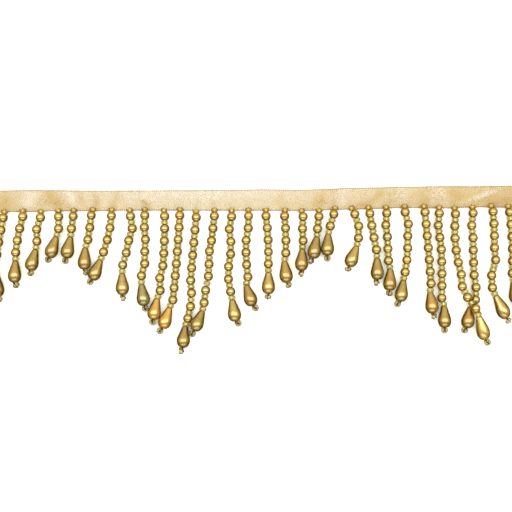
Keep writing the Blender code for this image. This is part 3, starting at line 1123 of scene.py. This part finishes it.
def make_floor():
    """A plain white floor."""
    nodes = Finish("white_floor")
    nodes.set(Roughness=0.9)
    place = nodes.add("ShaderNodeTexCoord").outputs["Object"]
    paper = nodes.noise(nodes.stretched(place, (60.0, 60.0, 60.0)), 1.0, 2.0)
    cool = (0.93, 0.915, 0.97, 1.0)
    pale = (0.95, 0.935, 0.98, 1.0)
    nodes.join(nodes.mixed(paper, cool, pale), "Base Color")
    corners = [
        (across * FLOOR_REACH, back * FLOOR_REACH, 0.0)
        for across, back in ((-1, -1), (1, -1), (1, 1), (-1, 1))
    ]
    floor = mesh_object("floor", corners, [(0, 1, 2, 3)], nodes.material)
    floor.visible_glossy = False


def make_panel(panel):
    """A soft panel that faces the trim, as bright as asked whatever its size."""
    width, depth = panel.size
    lamp = bpy.data.lights.new(panel.name, "AREA")
    lamp.shape = "RECTANGLE"
    lamp.size = width
    lamp.size_y = depth
    lamp.energy = panel.radiance * math.pi * width * depth
    lamp.color = PANEL_TINT
    direction = Vector(panel.direction)
    light = bpy.data.objects.new(panel.name, lamp)
    light.location = direction.normalized() * PANEL_DISTANCE
    light.rotation_euler = direction.to_track_quat("Z", "Y").to_euler()
    bpy.context.scene.collection.objects.link(light)


def make_room():
    """Soft light from a pale room: dim and warm toward the horizon, with one darker bar."""
    world = bpy.data.worlds.new("pale_room")
    nodes = Nodes(world, "Background")
    toward = nodes.add("ShaderNodeTexCoord").outputs["Generated"]
    split = nodes.add("ShaderNodeSeparateXYZ", {0: toward}).outputs
    warmth = nodes.mapped(split["Z"], 0.0, 0.40)
    warm = (1.0, 0.68, 0.20, 1.0)
    pale = (1.0, 0.93, 0.64, 1.0)
    nodes.join(nodes.mixed(warmth, warm, pale), "Color")
    low = nodes.mapped(split["Z"], -0.50, 0.10, 0.24, 1.10)
    high = nodes.mapped(split["Z"], 0.10, 0.62, 0.0, 0.35)
    back = nodes.mapped(split["Y"], 0.50, 0.95, 0.0, 0.40)
    dome = nodes.reckoned("ADD", nodes.reckoned("ADD", low, high), back)
    from_bar = nodes.reckoned("ABSOLUTE", nodes.reckoned("ADD", split["Y"], BAR_MIDDLE))
    bar = nodes.mapped(from_bar, BAR_HALF_WIDTH, BAR_FADE_END, BAR_LIGHT, 1.0)
    nodes.join(nodes.reckoned("MULTIPLY", dome, bar), "Strength")
    bpy.context.scene.world = world


def make_lights():
    """The room, a bright soft panel nearly overhead and a narrower one low in front."""
    make_room()
    for panel in PANELS:
        make_panel(panel)
    bpy.context.scene.view_settings.view_transform = "Standard"


def make_camera():
    """The photograph's view: straight down on the trim."""
    lens = bpy.data.cameras.new("camera")
    lens.lens = LENS
    lens.sensor_width = SENSOR
    camera = bpy.data.objects.new("camera", lens)
    across = (RIBBON_MIDDLE_ROW - PHOTO_MIDDLE) * MM_PER_PIXEL
    height = FRAME_WIDTH * LENS / SENSOR + ROUND_RADIUS
    camera.location = Vector((0.0, across, height)) * MM
    camera.rotation_euler = (0.0, 0.0, 0.0)
    bpy.context.scene.collection.objects.link(camera)
    bpy.context.scene.camera = camera


def main():
    """Build every piece on the frame."""
    dice = random.Random(RANDOM_START)
    make_camera()
    make_lights()
    make_floor()
    ribbon = make_ribbon()
    selvedges = make_selvedges(dice)
    beads = Beads(dice)
    smooth = gold_finish("gold_lacquer", 0.36, (0.9, 0.9, 0.9), 1.95)
    brushed = gold_finish("brushed_gold", 0.38, (0.5, 0.5, 5.0), 1.9)
    lining = lining_finish()
    glass = [glass_finish("seed_glass", 0.3), lining]
    amber = [glass_finish("amber_glass", 0.18), lining]
    rounds = joined_beads("round_beads", ROUND_PROFILE, ROUND_SIDES, beads.rounds, dice, [smooth])
    drops = joined_beads("drop_beads", DROP_PROFILE, DROP_SIDES, beads.drops, dice, [brushed])
    pieces = [
        (ribbon, "satin"),
        (selvedges, "satin"),
        (rounds, "gold_beads"),
        (drops, "gold_beads"),
    ]
    for name, group, finishes in (
        ("seed_beads", beads.seeds, glass),
        ("root_seeds", beads.roots, amber),
        ("stopper_seeds", beads.stoppers, glass),
    ):
        seeds = joined_beads(name, SEED_PROFILE, SEED_SIDES, group, dice, finishes)
        pieces.append((seeds, "seed_glass"))
    pieces.append((make_threads(beads.paths), "thread"))
    for piece, slot in pieces:
        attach(piece, BODY)
    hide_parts("ribbon")
    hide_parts("fringe_left", "fringe_middle", "fringe_right")


main()
